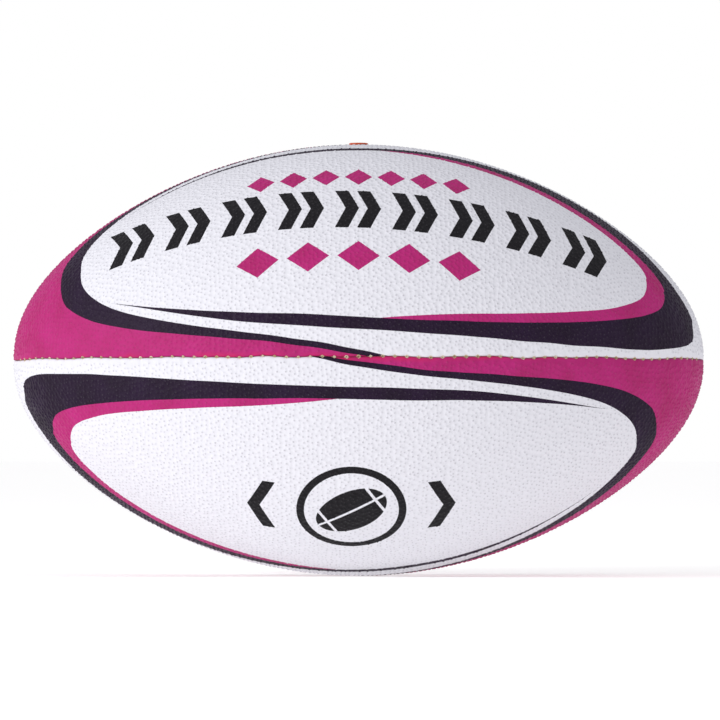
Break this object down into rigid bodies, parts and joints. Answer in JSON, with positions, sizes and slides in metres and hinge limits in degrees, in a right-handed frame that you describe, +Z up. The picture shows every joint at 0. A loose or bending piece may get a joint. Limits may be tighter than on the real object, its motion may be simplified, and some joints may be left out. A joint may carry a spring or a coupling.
{
  "type": "rugby ball",
  "caption": "Oval rugby ball of pimpled rubber panels with laced seams, printed bands, a bladder and a valve in the top seam.",
  "frame": {"origin": "centre of the ball", "axes": "X along the ball from tip to tip, +Z up through the seam that holds the valve, -Y towards the seam seen in front"},
  "size_m": [0.296, 0.1846, 0.1857],
  "materials": {
    "cover_rubber": "pimpled, printed in magenta and dark aubergine",
    "lining_polyester": "plain weave",
    "lining_cotton": "plain weave",
    "waxed_thread": "twisted and waxed",
    "bladder_rubber": "smooth",
    "valve_rubber": "smooth orange",
    "plug_rubber": "smooth"
  },
  "bodies": {
    "root": {"bladder": "bladder_rubber", "counterweight_patch": "bladder_rubber", "panel_back_bottom": "cover_rubber", "panel_back_top": "cover_rubber", "panel_front_bottom": "cover_rubber", "panel_front_top": "cover_rubber", "ply_inner_back_bottom": "lining_polyester", "ply_inner_back_top": "lining_polyester", "ply_inner_front_bottom": "lining_polyester", "ply_inner_front_top": "lining_polyester", "ply_middle_back_bottom": "lining_cotton", "ply_middle_back_top": "lining_cotton", "ply_middle_front_bottom": "lining_cotton", "ply_middle_front_top": "lining_cotton", "ply_outer_back_bottom": "lining_polyester", "ply_outer_back_top": "lining_polyester", "ply_outer_front_bottom": "lining_polyester", "ply_outer_front_top": "lining_polyester", "seam_thread_back": "waxed_thread", "seam_thread_bottom": "waxed_thread", "seam_thread_front": "waxed_thread", "seam_thread_top_left": "waxed_thread", "seam_thread_top_right": "waxed_thread", "valve_collar": "bladder_rubber", "valve_flap": "lining_cotton", "valve_housing": "valve_rubber", "valve_plug": "plug_rubber"}
  },
  "joints": []
}
